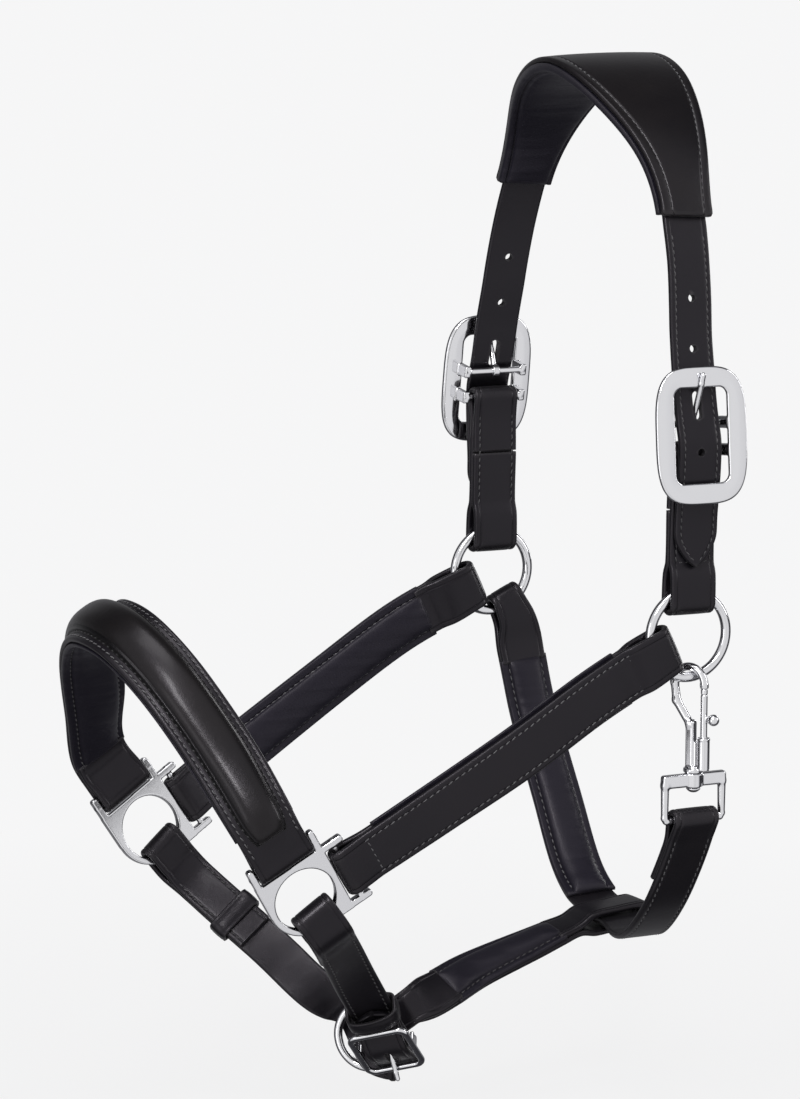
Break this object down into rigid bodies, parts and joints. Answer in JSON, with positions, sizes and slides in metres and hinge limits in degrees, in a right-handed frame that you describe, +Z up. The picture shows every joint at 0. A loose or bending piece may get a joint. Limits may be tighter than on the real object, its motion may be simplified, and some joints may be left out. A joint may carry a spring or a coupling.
{
  "type": "leather headcollar",
  "caption": "Padded leather headcollar with a buckled crown, shaped poll pad, raised noseband, chromed rings and squares, adjustable chin strap and a throat latch with trigger snap.",
  "frame": {"origin": "centre of the lead ring under the chin", "axes": "+Z up towards the poll, -X towards the horse's nose, -Y towards the horse's near (left) side, where the snap is; millimetre source, metre row"},
  "size_m": [0.3227, 0.2373, 0.5137],
  "materials": {
    "leather": "satin black bridle leather",
    "lining": "soft black lining leather over padding",
    "metal": "polished"
  },
  "bodies": {
    "collar": {"crown_strap": "leather", "poll_pad_cover": "leather", "poll_pad_lining": "lining", "near_crown_chape": "leather", "far_crown_chape": "leather", "near_buckle_frame": "metal", "far_buckle_frame": "metal", "near_cheek_strap": "leather", "far_cheek_strap": "leather", "near_cheek_padding": "lining", "far_cheek_padding": "lining", "near_halter_square": "metal", "far_halter_square": "metal", "noseband_strap": "leather", "noseband_roll": "leather", "noseband_lining": "lining", "far_chin_strap": "leather", "near_chin_strap": "leather", "chin_buckle_frame": "metal", "chin_buckle_keeper": "leather", "jaw_strap": "leather", "jaw_padding": "lining", "throat_strap": "leather", "throat_padding": "lining", "snap_eye": "metal"},
    "near_ring": {"near_cheek_ring": "metal"},
    "far_ring": {"far_cheek_ring": "metal"},
    "lead_ring_body": {"lead_ring": "metal"},
    "near_tongue": {"near_buckle_tongue": "metal"},
    "far_tongue": {"far_buckle_tongue": "metal"},
    "chin_tongue": {"chin_buckle_tongue": "metal"},
    "hook": {"snap_hook": "metal", "snap_spring": "metal"},
    "bolt": {"snap_bolt": "metal"},
    "runner": {"chin_runner": "leather"}
  },
  "joints": [
    {"name": "near_ring_spin", "type": "hinge", "parent": "collar", "child": "near_ring", "pos_m": [0.1227, -0.104, 0.214], "axis": [0, 1, 0], "continuous": true},
    {"name": "far_ring_spin", "type": "hinge", "parent": "collar", "child": "far_ring", "pos_m": [0.1227, 0.104, 0.214], "axis": [0, 1, 0], "continuous": true},
    {"name": "lead_ring_spin", "type": "hinge", "parent": "collar", "child": "lead_ring_body", "pos_m": [0, 0, 0], "axis": [-0.682, -0.724, 0.103], "continuous": true},
    {"name": "near_tongue_hinge", "type": "hinge", "parent": "collar", "child": "near_tongue", "pos_m": [0.1236, -0.1035, 0.31955], "axis": [0.9999, -0.0003, -0.0167], "range_deg": [0, 11]},
    {"name": "far_tongue_hinge", "type": "hinge", "parent": "collar", "child": "far_tongue", "pos_m": [0.1236, 0.1035, 0.31955], "axis": [-0.9999, -0.0003, 0.0167], "range_deg": [0, 11]},
    {"name": "chin_tongue_hinge", "type": "hinge", "parent": "collar", "child": "chin_tongue", "pos_m": [-0.0045, -0.02818, 0.00346], "axis": [-0.7247, 0.641, -0.2528], "range_deg": [0, 10]},
    {"name": "snap_swivel", "type": "hinge", "parent": "collar", "child": "hook", "pos_m": [0.1255, -0.1064, 0.14], "axis": [0, 0, 1], "range_deg": [-40, 4]},
    {"name": "snap_bolt_slide", "type": "slide", "parent": "hook", "child": "bolt", "axis": [0, 0, 1], "range_m": [-0.0065, 0], "stiffness_N_per_m": 300, "springref_m": 0.002, "deforming": ["snap_spring"]},
    {"name": "chin_runner_slide", "type": "slide", "parent": "collar", "child": "runner", "axis": [0.5012, -0.6498, -0.5714], "range_m": [-0.005, 0.005]}
  ]
}
